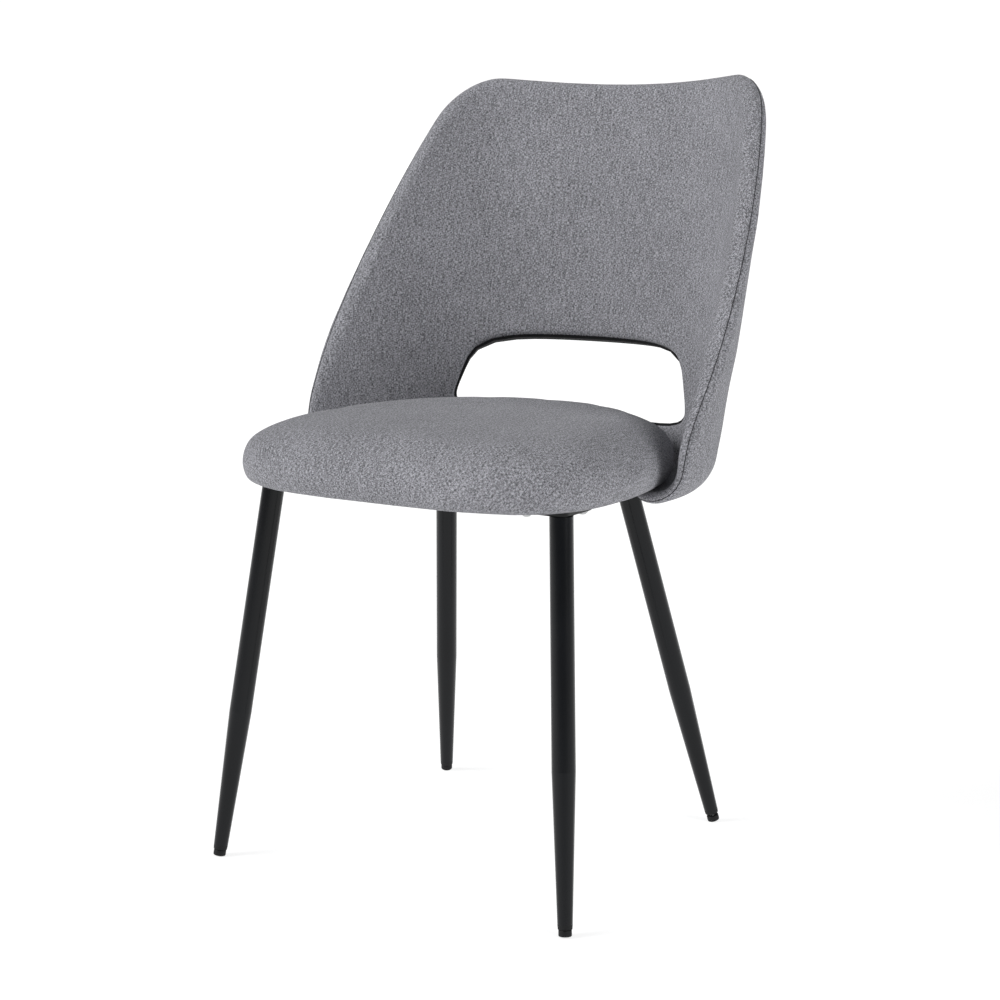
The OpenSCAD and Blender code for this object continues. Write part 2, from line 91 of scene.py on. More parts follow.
def make_stage():
    """White floor and world, and the two soft suns."""
    mesh = bpy.data.meshes.new("floor")
    grid = bmesh.new()
    bmesh.ops.create_grid(grid, x_segments=2, y_segments=2, size=FLOOR_HALF)
    grid.to_mesh(mesh)
    grid.free()
    floor = bpy.data.objects.new("floor", mesh)
    bpy.context.scene.collection.objects.link(floor)
    n = Nodes("floor")
    n.finish((FLOOR_TONE, FLOOR_TONE, FLOOR_TONE, 1), 0.9, Emission_Color=WHITE,
             Emission_Strength=FLOOR_GLOW)
    mesh.materials.append(n.mat)
    world = bpy.data.worlds.new("studio")
    bpy.context.scene.world = world
    world.use_nodes = True
    tree = world.node_tree
    dim, bright = tree.nodes["Background"], tree.nodes.new("ShaderNodeBackground")
    for sky, colour, strength in ((dim, SKY_TINT, SKY_FILL), (bright, WHITE, SKY_SEEN)):
        sky.inputs["Color"].default_value = colour
        sky.inputs["Strength"].default_value = strength
    mix = tree.nodes.new("ShaderNodeMixShader")
    seen = tree.nodes.new("ShaderNodeLightPath")
    tree.links.new(seen.outputs["Is Camera Ray"], mix.inputs[0])
    tree.links.new(dim.outputs[0], mix.inputs[1])
    tree.links.new(bright.outputs[0], mix.inputs[2])
    tree.links.new(mix.outputs[0], tree.nodes["World Output"].inputs["Surface"])
    bpy.context.scene.view_settings.view_transform = "Standard"
    for row in SUNS:
        add_sun(*row)


# ---------------------------------------------------------------- node helpers


class Nodes:
    """A material's node tree with short calls for the nodes used here."""

    def __init__(self, name):
        self.mat = bpy.data.materials.new(name)
        self.mat.use_nodes = True
        self.tree = self.mat.node_tree
        self.shader = self.tree.nodes["Principled BSDF"]

    def add(self, kind, **settings):
        node = self.tree.nodes.new(kind)
        for key, value in settings.items():
            setattr(node, key, value)
        return node

    def link(self, out, into):
        self.tree.links.new(out, into)
        return into

    def put(self, into, value):
        """Sets an input to a number, or links it to another node's output."""
        if isinstance(value, bpy.types.NodeSocket):
            self.link(value, into)
        else:
            into.default_value = value

    def math(self, operation, a, b=0.0):
        node = self.add("ShaderNodeMath", operation=operation)
        self.put(node.inputs[0], a)
        self.put(node.inputs[1], b)
        return node.outputs[0]

    def spread(self, value, low, high, to_low, to_high):
        """The value with its range from low to high stretched to another range."""
        node = self.add("ShaderNodeMapRange")
        for socket, v in zip(node.inputs, (value, low, high, to_low, to_high)):
            self.put(socket, v)
        return node.outputs[0]

    def scaled(self, vector, scale):
        node = self.add("ShaderNodeMapping")
        self.link(vector, node.inputs["Vector"])
        node.inputs["Scale"].default_value = scale
        return node.outputs[0]

    def noise(self, vector, scale, detail=2.0, roughness=0.5):
        """Noise with scale cells to the metre along each axis, about 0.3 to 0.7."""
        node = self.add("ShaderNodeTexNoise")
        self.link(self.scaled(vector, scale), node.inputs["Vector"])
        node.inputs["Scale"].default_value = 1.0
        node.inputs["Detail"].default_value = detail
        node.inputs["Roughness"].default_value = roughness
        return node.outputs["Fac"]

    def ramp(self, value, stops):
        node = self.add("ShaderNodeValToRGB")
        self.put(node.inputs[0], value)
        points = node.color_ramp.elements
        while len(points) < len(stops):
            points.new(0.5)
        for point, (place, colour) in zip(points, stops):
            point.position, point.color = place, (*colour, 1)
        return node.outputs[0]

    def bump(self, height, distance, strength):
        node = self.add("ShaderNodeBump")
        node.inputs["Strength"].default_value = strength
        node.inputs["Distance"].default_value = distance
        self.put(node.inputs["Height"], height)
        return node.outputs[0]

    def finish(self, colour, roughness, normal=None, **constants):
        """Connects the shader; a constant's name is its input's name with underscores."""
        self.put(self.shader.inputs["Base Color"], colour)
        self.put(self.shader.inputs["Roughness"], roughness)
        if normal is not None:
            self.link(normal, self.shader.inputs["Normal"])
        for key, value in constants.items():
            self.shader.inputs[key.replace("_", " ")].default_value = value
        return self.mat


def object_place(n):
    """Coordinates fixed to the piece, in metres."""
    return n.add("ShaderNodeTexCoord").outputs["Object"]


# ---------------------------------------------------------------- materials


# The range that a noise value mostly keeps to.
LOW, HIGH = 0.3, 0.7
# Noise cells to the metre across and along a thread, and radians to the metre of the rib grid.
THREAD_ACROSS, THREAD_ALONG, RIB_TURNS = 1700, 320, 5200
# Darkest and lightest thread as shares of the cloth's tone, and where in the mixed noise they lie.
DARK_THREAD, LIGHT_THREAD = 0.34, 2.1
DARK_AT, TONE_AT, LIGHT_AT = 0.4, 0.52, 0.65


def woven_cloth(name, tone):
    """Grey melange linen weave: short light and dark streaks of two crossing sets of threads."""
    n = Nodes(name)
    place = n.add("ShaderNodeUVMap", uv_map="weave").outputs[0]
    warp = n.noise(place, (THREAD_ACROSS, THREAD_ALONG, 1), 0.0)
    weft = n.noise(place, (THREAD_ALONG, THREAD_ACROSS, 1), 0.0)
    slub = n.noise(place, (620, 45, 1), 0.0)
    broad = n.noise(place, (11, 8, 1), 2.0)
    over, under = n.math("MAXIMUM", warp, weft), n.math("MINIMUM", warp, weft)
    threads = n.math("ADD", n.math("MULTIPLY", over, 0.7), n.math("MULTIPLY", under, 0.3))
    mixed = n.math("ADD", n.math("MULTIPLY", threads, 0.86), n.math("MULTIPLY", slub, 0.14))
    mixed = n.math("ADD", mixed, n.spread(broad, LOW, HIGH, -0.012, 0.012))
    dark, light = ([c * share for c in tone] for share in (DARK_THREAD, LIGHT_THREAD))
    colour = n.ramp(mixed, [(DARK_AT, dark), (TONE_AT, tone), (LIGHT_AT, light)])
    grid = n.add("ShaderNodeSeparateXYZ")
    n.link(n.scaled(place, (RIB_TURNS, RIB_TURNS, 1)), grid.inputs[0])
    cross = n.math("MULTIPLY", n.math("SINE", grid.outputs[0]), n.math("SINE", grid.outputs[1]))
    height = n.math("ADD", n.spread(cross, -1, 1, 0, 0.25), mixed)
    roughness = n.spread(mixed, 0.35, 0.65, 0.96, 0.86)
    return n.finish(colour, roughness, n.bump(height, 0.9 * MM, 0.55),
                    Sheen_Weight=0.1, Sheen_Roughness=0.5, Specular_IOR_Level=0.2)


def tinted(n, value, tone, share):
    """Colour that varies with a noise value by a share either side of a tone."""
    dark, light = ([c * factor for c in tone] for factor in (1 - share, 1 + share))
    return n.ramp(value, [(LOW, dark), (HIGH, light)])


def powder_coat():
    """Black satin powder coat with its fine orange peel."""
    n = Nodes("powder_coat")
    place = object_place(n)
    peel = n.noise(place, (1400, 1400, 1400), 2.0)
    patches = n.noise(place, (24, 24, 9), 3.0)
    colour = tinted(n, patches, (0.0016, 0.0022, 0.0034), 0.25)
    return n.finish(colour, n.spread(patches, LOW, HIGH, 0.2, 0.26), n.bump(peel, 0.06 * MM, 0.4),
                    Specular_IOR_Level=0.26)


def moulded_plastic():
    """Black moulded plastic with a spark-eroded grain."""
    n = Nodes("moulded_plastic")
    place = object_place(n)
    grain = n.noise(place, (2600, 2600, 2600), 1.0)
    patches = n.noise(place, (90, 90, 90), 2.0)
    colour = tinted(n, patches, (0.006, 0.0064, 0.007), 0.2)
    return n.finish(colour, n.spread(grain, LOW, HIGH, 0.48, 0.62), n.bump(grain, 0.1 * MM, 0.6),
                    Specular_IOR_Level=0.22)


THREAD_PITCH = 1.0 * MM


def zinc_plate(name, threaded):
    """Bright zinc plating with a cloudy grain, and rings at the screw's pitch where threaded."""
    n = Nodes(name)
    place = object_place(n)
    cloud = n.noise(place, (500, 500, 500), 3.0)
    colour = tinted(n, cloud, (0.56, 0.565, 0.57), 0.12)
    height = cloud
    if threaded:
        turns = n.add("ShaderNodeSeparateXYZ")
        n.link(n.scaled(place, (1, 1, math.tau / THREAD_PITCH)), turns.inputs[0])
        height = n.math("ADD", n.math("MULTIPLY", n.math("SINE", turns.outputs[2]), 2.0), cloud)
    roughness = n.spread(cloud, LOW, HIGH, 0.28, 0.42)
    return n.finish(colour, roughness, n.bump(height, 0.2 * MM, 0.7), Metallic=1.0)


def plywood():
    """Birch plywood: pale grain that runs from front to rear."""
    n = Nodes("plywood")
    place = object_place(n)
    grain = n.noise(place, (160, 9, 160), 4.0, 0.6)
    fine = n.noise(place, (900, 40, 900), 2.0)
    mixed = n.math("ADD", n.math("MULTIPLY", grain, 0.7), n.math("MULTIPLY", fine, 0.3))
    late, body, early = (0.33, 0.2, 0.1), (0.52, 0.36, 0.2), (0.62, 0.46, 0.28)
    colour = n.ramp(mixed, [(0.35, late), (0.5, body), (0.65, early)])
    return n.finish(colour, n.spread(mixed, LOW, HIGH, 0.5, 0.7), n.bump(mixed, 0.2 * MM, 0.4))


def non_woven(name, tone):
    """Matted black fibre cloth."""
    n = Nodes(name)
    place = object_place(n)
    fibre = n.noise(place, (1500, 420, 1500), 3.0, 0.7)
    dots = n.add("ShaderNodeTexVoronoi")
    n.link(n.scaled(place, (420, 420, 420)), dots.inputs["Vector"])
    dots.inputs["Scale"].default_value = 1.0
    height = n.math("ADD", fibre, n.math("MULTIPLY", dots.outputs["Distance"], 0.5))
    return n.finish(tinted(n, fibre, tone, 0.4), 0.93, n.bump(height, 0.3 * MM, 0.6),
                    Specular_IOR_Level=0.15)


def lip_shade_tape():
    """Painted shade: a black strip with the fine ribs of woven tape round the opening, its black line
    standing in for the lip's shaded underside.
    """
    n = Nodes("lip_shade_strip")
    ribs = n.noise(object_place(n), (1500, 1500, 500), 1.0)
    colour = tinted(n, ribs, (0.008, 0.008, 0.009), 0.4)
    return n.finish(colour, 0.85, n.bump(ribs, 0.4 * MM, 0.6), Specular_IOR_Level=0.2)


def seam_thread():
    """Dark sewing thread lying in the seam."""
    n = Nodes("seam_thread")
    twist = n.noise(object_place(n), (1600, 1600, 700), 1.0)
    colour = tinted(n, twist, (0.035, 0.035, 0.038), 0.45)
    return n.finish(colour, 0.8, n.bump(twist, 0.3 * MM, 0.6), Specular_IOR_Level=0.25)


def coat_nodes(mat, *endings):
    """Gives a material to every CAD node whose name ends with one of the endings."""
    for name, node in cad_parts.items():
        if name.endswith(endings):
            if node.data.materials:
                node.data.materials[0] = mat
            else:
                node.data.materials.append(mat)


# ---------------------------------------------------------------- meshes


def add_mesh(name, points, faces, weave=None):
    """A smooth object from points in metres; weave places each face corner on the flat cloth."""
    mesh = bpy.data.meshes.new(name)
    mesh.from_pydata([tuple(p) for p in points], [], [tuple(f) for f in faces])
    if weave is not None:
        layer = mesh.uv_layers.new(name="weave")
        layer.data.foreach_set("uv", np.asarray(weave, np.float32).ravel())
    mesh.polygons.foreach_set("use_smooth", [True] * len(mesh.polygons))
    obj = bpy.data.objects.new(name, mesh)
    bpy.context.scene.collection.objects.link(obj)
    return obj


def read_points(mesh):
    points = np.empty(len(mesh.vertices) * 3, np.float32)
    mesh.vertices.foreach_get("co", points)
    return points.reshape(-1, 3).astype(float)


def write_points(mesh, points):
    mesh.vertices.foreach_set("co", np.asarray(points, np.float32).ravel())
    mesh.update()


def averaged(values, edges, rounds):
    """One row of values per point, evened out along the mesh's edges."""
    count = np.bincount(edges.ravel(), minlength=len(values))[:, None]
    for _ in range(rounds):
        total = np.zeros_like(values)
        np.add.at(total, edges[:, 0], values[edges[:, 1]])
        np.add.at(total, edges[:, 1], values[edges[:, 0]])
        values = 0.5 * values + 0.5 * total / count
    return values


PRESSURE, FRAMES, SOFTEN_ROUNDS = 4.0, 20, 3


def swell(piece, free, cap):
    """Blows up a closed padded mesh with cloth pressure and writes the result into the mesh.

    free is 1 where a point may move and 0 where it is held; no point moves more than cap.
    """
    mesh = piece.data
    start = read_points(mesh)
    held = piece.vertex_groups.new(name="held")
    for level in np.unique(np.round(free, 1)):
        members = [int(i) for i in np.flatnonzero(np.round(free, 1) == level)]
        held.add(members, 1 - float(level), "REPLACE")
    cloth = piece.modifiers.new("cloth", "CLOTH")
    rules = cloth.settings
    rules.quality, rules.mass = 5, 0.3
    rules.tension_stiffness = rules.compression_stiffness = 15
    rules.shear_stiffness, rules.bending_stiffness = 5, 0.5
    rules.use_pressure, rules.uniform_pressure_force = True, PRESSURE
    rules.vertex_group_mass, rules.pin_stiffness = "held", 1.0
    rules.effector_weights.gravity = 0
    cloth.collision_settings.use_collision = False
    cloth.point_cache.frame_start, cloth.point_cache.frame_end = 1, FRAMES
    for frame_now in range(1, FRAMES + 1):
        bpy.context.scene.frame_set(frame_now)
    result = piece.evaluated_get(bpy.context.evaluated_depsgraph_get())
    moved = read_points(result.data) - start
    piece.modifiers.remove(cloth)
    piece.vertex_groups.remove(held)
    bpy.context.scene.frame_set(1)
    length = np.linalg.norm(moved, axis=1)[:, None]
    moved *= np.minimum(1, cap / np.maximum(length, 1e-9)) * free[:, None]
    edges = np.empty(len(mesh.edges) * 2, np.int32)
    mesh.edges.foreach_get("vertices", edges)
    write_points(mesh, start + averaged(moved, edges.reshape(-1, 2), SOFTEN_ROUNDS))


def ripple(run, seed):
    """Small irregular waves along a length in millimetres, between about -1 and 1."""
    waves = ((17.0, 0.35), (29.0, 0.3), (47.0, 0.25), (83.0, 0.3))
    return sum(share * np.sin(run / width * math.tau + seed * (i + 1.7))
               for i, (width, share) in enumerate(waves))


# ---------------------------------------------------------------- seat pad shape

# The pad's width, and its reach to the front and rear of its widest line.
SEAT_W, SEAT_FRONT, SEAT_REAR = 462.0, 174.0, 266.0
SEAT_H, CLOTH_T, TURN_UNDER = 75.0, 1.5, 42.0
FRONT_POWER, REAR_POWER, REAR_TAPER = 3.4, 2.6, 0.0004
# The widest line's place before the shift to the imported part, and the plan's middle behind it.
WIDEST_Y, MIDDLE_DY = -60.0, 45.0

seat_low = np.array(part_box("seat_cover")[0]) / MM
SHIFT_Y = seat_low[1] - (WIDEST_Y - SEAT_FRONT)
SEAT_Z = seat_low[2]

# Distance inside the pad's edge, with the share of its height from the bottom edge to the crown.
PAD_PROFILE = np.array([
    (18, 0), (10, 0.025), (4.5, 0.09), (1.4, 0.20), (0, 0.33), (1.8, 0.50), (7, 0.66), (15.5, 0.78),
    (29, 0.87), (52, 0.93), (95, 0.97), (150, 0.99), (SEAT_W / 2 - 6, 1)])
# The pad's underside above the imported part's lowest point, then the rings underneath: distance
# inside the edge and height, from the turned-under hem outwards.
UNDER_LIFT = 0.2
UNDER_RINGS = [(TURN_UNDER + 3, CLOTH_T + 4), (TURN_UNDER, CLOTH_T + 1), (TURN_UNDER, 0.3),
               (34, UNDER_LIFT), (28, UNDER_LIFT), (23, UNDER_LIFT)]
# Points round each ring, how much too small the pad is drawn, and how far the swelling may move it.
PAD_COLUMNS, PAD_SMALLER, PAD_CAP = 176, 4.0, 4.5
# Further inside the edge than this, the weave is laid on the crown straight from above.
FLAT_INSET = 50.0
# The length round the pad, which the gathers run along, and where they stop.
PAD_GIRTH, GATHER_UP, GATHER_IN = 1500.0, 0.22, 27


def signed_power(value, power):
    """A power of the value's size with the value's sign."""
    return np.sign(value) * np.abs(value) ** power


def pad_outline(angles, inset):
    """Plan points of the pad's rounded trapezoid at a distance inside its edge, in millimetres."""
    front = np.sin(angles) < 0
    power = np.where(front, FRONT_POWER, REAR_POWER)
    dy = np.where(front, SEAT_FRONT, SEAT_REAR) * signed_power(np.sin(angles), 2 / power)
    half = SEAT_W / 2 * (1 - REAR_TAPER * np.maximum(0, dy))
    x = half * signed_power(np.cos(angles), 2 / power)
    k = 1 - inset / (SEAT_W / 2)
    return np.stack([x * k, WIDEST_Y + (dy - MIDDLE_DY) * k + MIDDLE_DY + SHIFT_Y], -1)


def smooth_rows(points, per_gap):
    """Catmull-Rom points through a list of rows."""
    rows = []
    padded = np.vstack([2 * points[0] - points[1], points, 2 * points[-1] - points[-2]])
    for i in range(1, len(padded) - 2):
        p0, p1, p2, p3 = padded[i - 1:i + 3]
        square, cube = 2 * p0 - 5 * p1 + 4 * p2 - p3, 3 * p1 - p0 - 3 * p2 + p3
        for t in np.arange(per_gap) / per_gap:
            rows.append(0.5 * (2 * p1 + (p2 - p0) * t + square * t ** 2 + cube * t ** 3))
    rows.append(points[-1])
    return np.array(rows)


def evenly(curve, count):
    """Places an even distance apart along a closed curve, each counted in the curve's points."""
    loop = np.vstack([curve, curve[:1]])
    run = np.concatenate([[0], np.cumsum(np.linalg.norm(np.diff(loop, axis=0), axis=1))])
    at = np.linspace(0, run[-1], count, endpoint=False)
    return np.interp(at, run, np.linspace(0, len(curve), len(loop)))


def pad_angles(count):
    """Angles whose points lie an even distance apart on the pad's outline."""
    fine = np.linspace(-math.pi, math.pi, 1440, endpoint=False)
    place = evenly(pad_outline(fine, 0.0), count)
    return np.interp(place, np.arange(len(fine) + 1), np.append(fine, math.pi))


def pad_rings():
    """Distance inside the edge and height of each ring of the pad, from the crown down and under."""
    rings = [(inset, SEAT_Z + height) for inset, height in UNDER_RINGS]
    for inset, share in smooth_rows(PAD_PROFILE, 3):
        rings.append((max(0, inset) + PAD_SMALLER,
                      SEAT_Z + UNDER_LIFT + share * (SEAT_H - PAD_SMALLER)))
    return rings[::-1]


def make_pad(name):
    """The covered pad: a flat crown, a side of rings, and an underside closed above the board."""
    columns, rings = PAD_COLUMNS, pad_rings()
    angles = pad_angles(columns)
    points, flat = [], []
    edge = pad_outline(angles, FLAT_INSET)
    outward = pad_outline(angles, 0.0) - edge
    outward /= np.linalg.norm(outward, axis=1)[:, None]
    length, last = 0.0, None
    for inset, z in rings:
        ring = pad_outline(angles, inset)
        points.append(np.column_stack([ring, np.full(columns, z)]))
        if inset >= FLAT_INSET and z > SEAT_Z + SEAT_H / 2:
            flat.append(ring)
        else:
            length += math.hypot(inset - last[0], z - last[1])
            flat.append(edge + outward * length)
        last = (inset, z)
    count = len(rings)
    faces, weave = [], []
    flat = np.array(flat)
    for j in range(count - 1):
        for i in range(columns):
            k = (i + 1) % columns
            corners = ((j, i), (j + 1, i), (j + 1, k), (j, k))
            faces.append([row * columns + column for row, column in corners])
            weave += [flat[row, column] for row, column in corners]
    faces.append(tuple(range(columns)))
    weave += list(flat[0])
    faces.append(tuple((count - 1) * columns + i for i in range(columns - 1, -1, -1)))
    weave += list(flat[-1][::-1])
    return add_mesh(name, np.vstack(points) * MM, faces, np.array(weave) * MM)


def shape_pad(piece):
    """Swells the pad's sides and crown, then gathers the cloth along its lower edge and corners."""
    count, rings = PAD_COLUMNS, pad_rings()
    inset, height = (np.repeat(column, count) for column in np.array(rings).T)
    up = (height - SEAT_Z) / SEAT_H
    swell(piece, np.clip(up / 0.3, 0, 1), PAD_CAP * MM)
    points = read_points(piece.data) / MM
    turn = np.tile(pad_angles(count), len(rings))
    outward = pad_outline(turn, 0.0) - pad_outline(turn, 30.0)
    outward /= np.linalg.norm(outward, axis=1)[:, None]
    run = np.tile(np.arange(count) * PAD_GIRTH / count, len(rings))
    low = np.clip(1 - up / GATHER_UP, 0, 1) * (inset < GATHER_IN)
    corner = np.exp(-((np.abs(np.cos(turn)) - 0.6) / 0.28) ** 2) * (np.sin(turn) < 0)
    points[:, :2] += outward * (low * ripple(run, 2.3) * (0.35 + 0.7 * corner))[:, None]
    points[:, 2] -= low * np.maximum(0, ripple(run, 5.1)) * (0.15 + 0.4 * corner)
    under = np.exp(-((inset - 28) / 4) ** 2) * (up < 0.02)
    points[:, 2] -= under * np.maximum(0, ripple(run * 1.3, 0.7)) * (0.2 + 0.5 * corner)
    write_points(piece.data, points * MM)


# ---------------------------------------------------------------- back shell shape
# A sheet bent round the sitter. run is the distance along the bend from the rear middle, climb
# the distance up the sheet from the tuck under the seat, both in millimetres.

# The bend's half width and depth, then the height of the back, the dip of its top edge and its
# slope, and how far the dip reaches to each side and down.
SHELL_A, SHELL_B = 256.0, 197.0
BACK_Z, TOP_DIP, RECLINE = 877.0, 9.0, 0.307
DIP_HALF, DIP_REACH = 165, 160
# The flange's height, the tuck's radius and the flange's width, then the corners of the sheet.
FLANGE_Z, TUCK_R, FLANGE_W = 422.6, 40.0, 24.0
CORNER_R, FOOT_R = 50.0, 30.0
# Half the core's thickness, then the foam in front, behind and on the flange.
CORE_HALF, PAD_FRONT, PAD_REAR, FLANGE_FOAM = 3.0, 12.5, 8.5, 2.0
# The climb at which the foam has thinned to the flange's, and the climb over which it thins.
THIN_END, THIN_OVER = -20, 130
TUCK_Z = FLANGE_Z + TUCK_R
TUCK_LEN = TUCK_R * math.pi / 2
QUARTER = (SHELL_A + SHELL_B) / 2 * math.pi / 2
TOP_CLIMB, LOW_CLIMB = BACK_Z - TUCK_Z, -TUCK_LEN - FLANGE_W
# The opening's height, its half width as a share of QUARTER, its squareness, flare and top.
GAP_H, GAP_W, GAP_POWER, GAP_FLARE, GAP_TOP = 92.0, 0.43, 4.6, 0.11, 563.0
GAP_MID = GAP_TOP - TUCK_Z - GAP_H / 2
# The climb that counts as much as QUARTER when outline points are paired with the opening's.
GAP_FAN = 210
# How far in from the opening and from the wing's edge the cloth is rounded over.
GAP_ROUND, WING_ROUND = 7.0, 14.0

# How the bend's half width, its middle and the wing's edge change with height. A slope starts at
# the height that ends in _Z and blends in over the one that ends in _BEND.
NARROWING, NARROW_Z, NARROW_BEND = 0.085, 560, 20
CENTRE_Y, CENTRE_Z, LOW_SLOPE, RECLINE_Z, RECLINE_BEND = 33, 480, 0.15, 545, 12
WING_Y, WING_SLOPE, WING_Z, WING_BEND = -4, 0.684, 485.5, 15


def soft_ramp(x, width):
    """Zero below x = 0 and x above it, with the bend spread over a width."""
    return width * np.log1p(np.exp(np.minimum(60, x / width)))


def half_width(z):
    """The bend's half width at a height."""
    return SHELL_A - NARROWING * soft_ramp(NARROW_Z - z, NARROW_BEND)


def centre_y(z):
    """How far back the middle of the bend's ellipse is at a height."""
    recline = (RECLINE - LOW_SLOPE) * soft_ramp(z - RECLINE_Z, RECLINE_BEND)
    return CENTRE_Y + LOW_SLOPE * (z - CENTRE_Z) + recline


def wing_y(z):
    """How far back the wing's edge is at a height."""
    return WING_Y + WING_SLOPE * soft_ramp(z - WING_Z, WING_BEND)


def middle(run, climb):
    """Points on the sheet's middle surface."""
    run, climb = np.broadcast_arrays(np.asarray(run, float), np.asarray(climb, float))
    bend = np.clip(climb, -TUCK_LEN, 0) / TUCK_R
    z = np.where(climb >= 0, TUCK_Z + climb, TUCK_Z + TUCK_R * np.sin(bend))
    inset = TUCK_R * (1 - np.cos(bend)) + np.maximum(0, -climb - TUCK_LEN)
    zp = np.maximum(z, TUCK_Z)
    phi = np.minimum(1, np.abs(run) / QUARTER) * math.pi / 2
    x = np.sign(run) * (half_width(zp) - inset) * np.sin(phi)
    y = centre_y(zp) + (SHELL_B - inset) * np.cos(phi) - np.maximum(0, np.abs(run) - QUARTER)
    return np.stack([x, y + SHIFT_Y, z], -1)


def sheet_point(run, climb, lift):
    """Points at a distance from the middle surface, positive away from the sitter."""
    up = middle(run, climb + 1) - middle(run, climb - 1)
    along = middle(run + 1, climb) - middle(run - 1, climb)
    normal = np.cross(up, along)
    normal /= np.linalg.norm(normal, axis=-1)[..., None]
    return middle(run, climb) + np.asarray(lift)[..., None] * normal


def wing_run(climb):
    """The run at which the sheet ends in the wing's edge."""
    z = np.maximum(middle(0, climb)[..., 2], TUCK_Z)
    dy = wing_y(z) - centre_y(z)
    bend = np.degrees(np.arcsin(np.clip(dy / SHELL_B, 0, 1)))
    return np.where(dy < 0, QUARTER - dy, QUARTER * (1 - bend / 90))


def face_offset(climb, pad):
    """Distance of a covered face from the middle surface, with the foam thinned towards the flange."""
    share = np.clip((climb - THIN_END) / THIN_OVER, 0, 1)
    return CORE_HALF + FLANGE_FOAM + (pad - FLANGE_FOAM) * share + CLOTH_T


# Points along the sheet's lower, wing and top edges, and the spare run beside each rounded corner.
LOW_STEPS, WING_STEPS, TOP_STEPS, CORNER_SPARE = 20, 40, 18, 9


def half_outline():
    """(run, climb) of the sheet's edge, from the middle of its lower edge to the middle of its top."""
    low_run = float(wing_run(LOW_CLIMB)) - FOOT_R
    top_run = float(wing_run(TOP_CLIMB)) - CORNER_R
    wing_climbs = np.linspace(LOW_CLIMB + FOOT_R + CORNER_SPARE, TOP_CLIMB - CORNER_R - CORNER_SPARE,
                              WING_STEPS)
    turns = np.radians(np.arange(0, 91, 9))
    points = [(low_run * k / LOW_STEPS, LOW_CLIMB) for k in range(LOW_STEPS)]
    points += [(low_run + FOOT_R * math.sin(a), LOW_CLIMB + FOOT_R * (1 - math.cos(a))) for a in turns]
    points += [(float(wing_run(climb)), climb) for climb in wing_climbs]
    for a in turns:
        drop = CORNER_R * (1 - math.sin(a))
        cut = CORNER_R - math.sqrt(max(0, CORNER_R ** 2 - (CORNER_R - drop) ** 2))
        points.append((float(wing_run(TOP_CLIMB - drop)) - cut, TOP_CLIMB - drop))
    return points + [(top_run * k / TOP_STEPS, TOP_CLIMB) for k in range(TOP_STEPS - 1, -1, -1)]


def full_loop(half):
    """Both halves of a symmetric outline as one closed loop."""
    return np.array(half + [(-run, climb) for run, climb in half[-2:0:-1]])


def gap_points(outline):
    """The opening's edge, with one point for each point of the sheet's outline."""
    a = np.arctan2((outline[:, 1] - GAP_MID) / GAP_FAN, outline[:, 0] / QUARTER)
    r = (np.abs(np.cos(a)) ** GAP_POWER + np.abs(np.sin(a)) ** GAP_POWER) ** (-1 / GAP_POWER)
    u, v = r * np.cos(a), r * np.sin(a)
    run = u * (GAP_W * QUARTER) * (1 - GAP_FLARE * v)
    return np.stack([run, GAP_MID + v * (GAP_H / 2)], -1)


def dip(run, climb):
    """How much the top edge's dip lowers a point."""
    across = np.maximum(0, 1 - (run / DIP_HALF) ** 2) ** 1.4
    return TOP_DIP * across * np.maximum(0, 1 - (TOP_CLIMB - climb) / DIP_REACH)


# Keeps the two faces a little apart at the edge itself.
EDGE_START = 0.12


def edge_share(distance, radius):
    """Share of the full thickness at a distance inside a rounded edge."""
    return np.sqrt(1 - (1 - np.minimum(1, (distance + EDGE_START) / radius)) ** 2)


# Each line across the cover runs up the front from the opening to the wing's edge, and back down
# the rear. The rows near the two edges are given by their distance from them.
GAP_ROWS = [0.0, 0.7, 2.0, 4.2]
WING_ROWS = [10.0, 6.5, 3.6, 1.2, 0.0]
MIDDLE_ROWS = 20
ROWS = len(GAP_ROWS) + MIDDLE_ROWS + 1 + len(WING_ROWS)
SEAM = ROWS + 1
# How far the swelling may move the back's cloth, and how deep the seam is drawn in beside it.
BACK_CAP, SEAM_DEPTH, BESIDE_DEPTH, PUCKER = 2.0, 1.5, 0.45, 0.22
# Rows from the seam to the undisturbed cloth on both its sides.
SEAM_REACH = 5
THREAD_R, THREAD_LIFT = 0.45, 0.35
# Cloth on the lip of the opening, between the front's and the rear's first rows.
LIP_W = 1.5


def shell_lines():
    """Points of the covered back, with 2 * ROWS for each outline point, and their run and climb."""
    rims = full_loop(half_outline())
    gaps = gap_points(rims)
    span = np.linalg.norm(rims - gaps, axis=1)
    columns, sheet = [], []
    for k in range(2 * ROWS):
        front = k < ROWS
        j = k if front else 2 * ROWS - 1 - k
        if j < len(GAP_ROWS):
            inside, share = np.full(len(span), GAP_ROWS[j]), edge_share(GAP_ROWS[j], GAP_ROUND)
        elif j <= len(GAP_ROWS) + MIDDLE_ROWS:
            t = (j - len(GAP_ROWS)) / MIDDLE_ROWS
            inside, share = GAP_ROUND + (span - GAP_ROUND - WING_ROUND) * t, 1.0
        else:
            left = WING_ROWS[j - len(GAP_ROWS) - MIDDLE_ROWS - 1]
            inside, share = span - left, edge_share(left, WING_ROUND)
        place = gaps + (rims - gaps) * (inside / span)[:, None]
        place[:, 1] -= dip(place[:, 0], place[:, 1])
        rear, fore = face_offset(place[:, 1], PAD_REAR), face_offset(place[:, 1], PAD_FRONT)
        half, mid = (rear + fore) / 2 * share, (rear - fore) / 2
        lift = mid - half if front else mid + half
        columns.append(sheet_point(place[:, 0], place[:, 1], lift))
        sheet.append(place)
    return np.stack(columns, 1), np.stack(sheet, 1)


